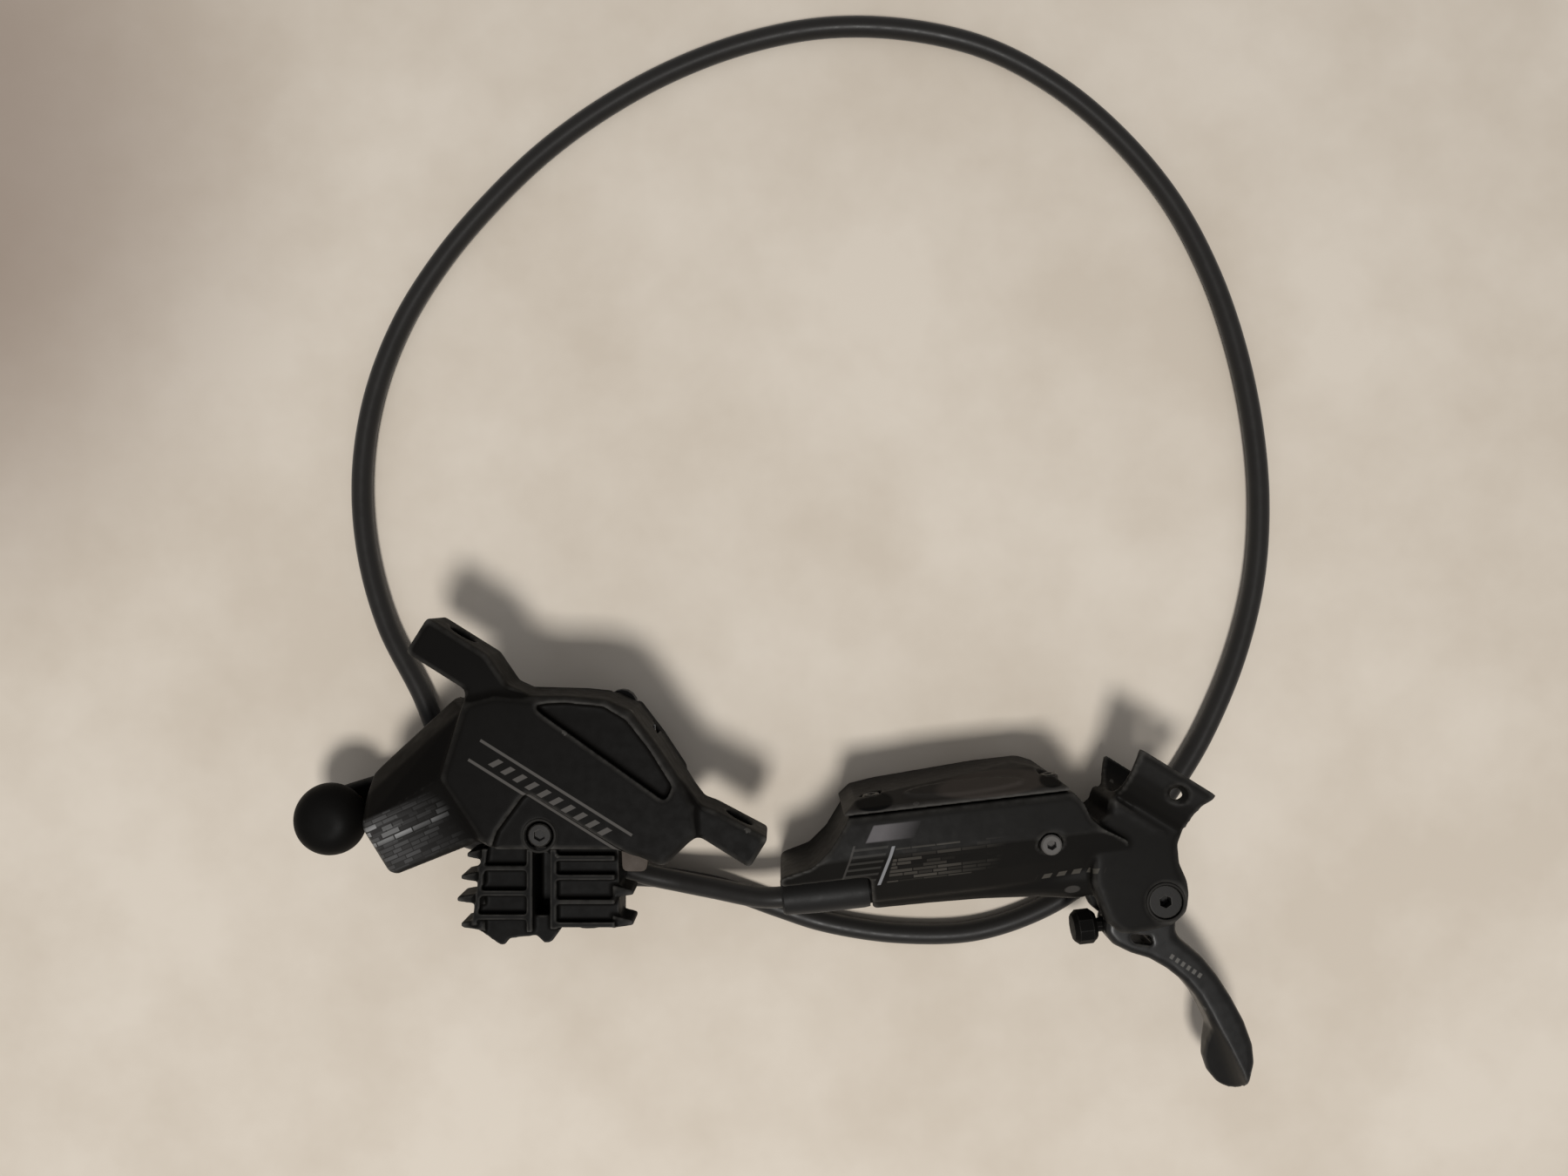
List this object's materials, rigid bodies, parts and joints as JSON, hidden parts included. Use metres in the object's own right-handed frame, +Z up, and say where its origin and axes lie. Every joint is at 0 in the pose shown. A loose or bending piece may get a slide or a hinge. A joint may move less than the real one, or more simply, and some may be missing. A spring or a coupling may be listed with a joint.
{
  "type": "hydraulic disc brake",
  "caption": "Hydraulic bicycle disc brake: finger lever with reservoir and bar clamp, coiled hose, opposed-piston caliper with pads and a ribbed transport block.",
  "frame": {"origin": "foot of the caliper's left lower piston boss, on the surface that the brake lies on", "axes": "+Z up from that surface, +X from the caliper toward the lever, +Y toward the hose loop"},
  "size_m": [0.2328, 0.2598, 0.038],
  "materials": {
    "black_paint": "satin black paint",
    "black_plastic": "matte black plastic",
    "black_rubber": "matte black rubber",
    "dark_steel": "blackened steel",
    "bright_steel": "plain steel",
    "tan_plate": "yellow plated steel",
    "lining": "pressed friction material",
    "dark_piston": "moulded phenolic",
    "bare_aluminium": "machined",
    "copper": "plain copper",
    "brass": "turned brass"
  },
  "bodies": {
    "base": {"caliper_outboard": "black_paint", "caliper_inboard": "black_paint", "body_bolt_1": "dark_steel", "body_bolt_2": "dark_steel", "crossover_seal": "black_rubber", "piston_seal_outboard_1": "black_rubber", "piston_seal_outboard_2": "black_rubber", "piston_seal_inboard_1": "black_rubber", "piston_seal_inboard_2": "black_rubber", "pad_spring": "bright_steel", "pad_pin": "dark_steel", "pin_clip": "bright_steel", "caliper_bleed_screw": "bright_steel", "caliper_bleed_cap": "black_rubber", "pad_spacer": "black_plastic", "banjo": "black_paint", "banjo_washer_1": "copper", "banjo_washer_2": "copper", "banjo_bolt": "black_plastic", "hose_ferrule": "dark_steel", "lever_housing": "black_paint", "reservoir_cover": "black_plastic", "cover_screw_1": "dark_steel", "cover_screw_2": "dark_steel", "reservoir_bladder": "black_rubber", "lever_bleed_screw": "bright_steel", "circlip": "bright_steel", "return_spring": "bright_steel", "pivot_pin": "dark_steel", "hose_nut": "dark_steel", "hose_olive": "brass", "hose_boot": "black_rubber", "brake_hose": "black_rubber"},
    "blade": {"lever_blade": "black_paint", "pivot_bush_lower": "bare_aluminium", "pivot_bush_upper": "bare_aluminium"},
    "knob": {"reach_knob": "black_plastic"},
    "master": {"master_piston": "bare_aluminium", "primary_cup": "black_rubber", "secondary_cup": "black_rubber", "pushrod": "bright_steel"},
    "piston_outboard_a": {"piston_outboard_1": "dark_piston"},
    "piston_outboard_b": {"piston_outboard_2": "dark_piston"},
    "piston_inboard_a": {"piston_inboard_1": "dark_piston"},
    "piston_inboard_b": {"piston_inboard_2": "dark_piston"},
    "pad_outboard": {"backing_plate_outboard": "tan_plate", "friction_pad_outboard": "lining"},
    "pad_inboard": {"backing_plate_inboard": "tan_plate", "friction_pad_inboard": "lining"}
  },
  "joints": [
    {"name": "blade_swing", "type": "hinge", "parent": "base", "child": "blade", "pos_m": [0.1457, -0.0293, 0.016], "axis": [0, 0, 1], "range_deg": [0, 22], "stiffness_Nm_per_rad": 0.12, "springref_deg": -4.58},
    {"name": "master_slide", "type": "slide", "parent": "base", "child": "master", "axis": [-0.9934, -0.1149, 0], "range_m": [0, 0.0033], "deforming": ["return_spring"]},
    {"name": "reach_turn", "type": "hinge", "parent": "blade", "child": "knob", "pos_m": [0.12967, -0.0378, 0.016], "axis": [0.9934, 0.1149, 0], "continuous": true},
    {"name": "piston_outboard_a_slide", "type": "slide", "parent": "base", "child": "piston_outboard_a", "axis": [0, 0, -1], "range_m": [0, 0.0004]},
    {"name": "piston_outboard_b_slide", "type": "slide", "parent": "base", "child": "piston_outboard_b", "axis": [0, 0, -1], "range_m": [0, 0.0004]},
    {"name": "piston_inboard_a_slide", "type": "slide", "parent": "base", "child": "piston_inboard_a", "axis": [0, 0, 1], "range_m": [0, 0.0004]},
    {"name": "piston_inboard_b_slide", "type": "slide", "parent": "base", "child": "piston_inboard_b", "axis": [0, 0, 1], "range_m": [0, 0.0004]},
    {"name": "pad_outboard_slide", "type": "slide", "parent": "base", "child": "pad_outboard", "axis": [0, 0, -1], "range_m": [0, 0.0004]},
    {"name": "pad_inboard_slide", "type": "slide", "parent": "base", "child": "pad_inboard", "axis": [0, 0, 1], "range_m": [0, 0.0004]}
  ],
  "couplings": [
    {"joint": "master_slide", "follows": "blade_swing", "m_per_rad": 0.0083},
    {"joint": "piston_outboard_a_slide", "follows": "blade_swing", "m_per_rad": 0.001},
    {"joint": "piston_outboard_b_slide", "follows": "blade_swing", "m_per_rad": 0.001},
    {"joint": "piston_inboard_a_slide", "follows": "blade_swing", "m_per_rad": 0.001},
    {"joint": "piston_inboard_b_slide", "follows": "blade_swing", "m_per_rad": 0.001},
    {"joint": "pad_outboard_slide", "follows": "blade_swing", "m_per_rad": 0.001},
    {"joint": "pad_inboard_slide", "follows": "blade_swing", "m_per_rad": 0.001}
  ]
}
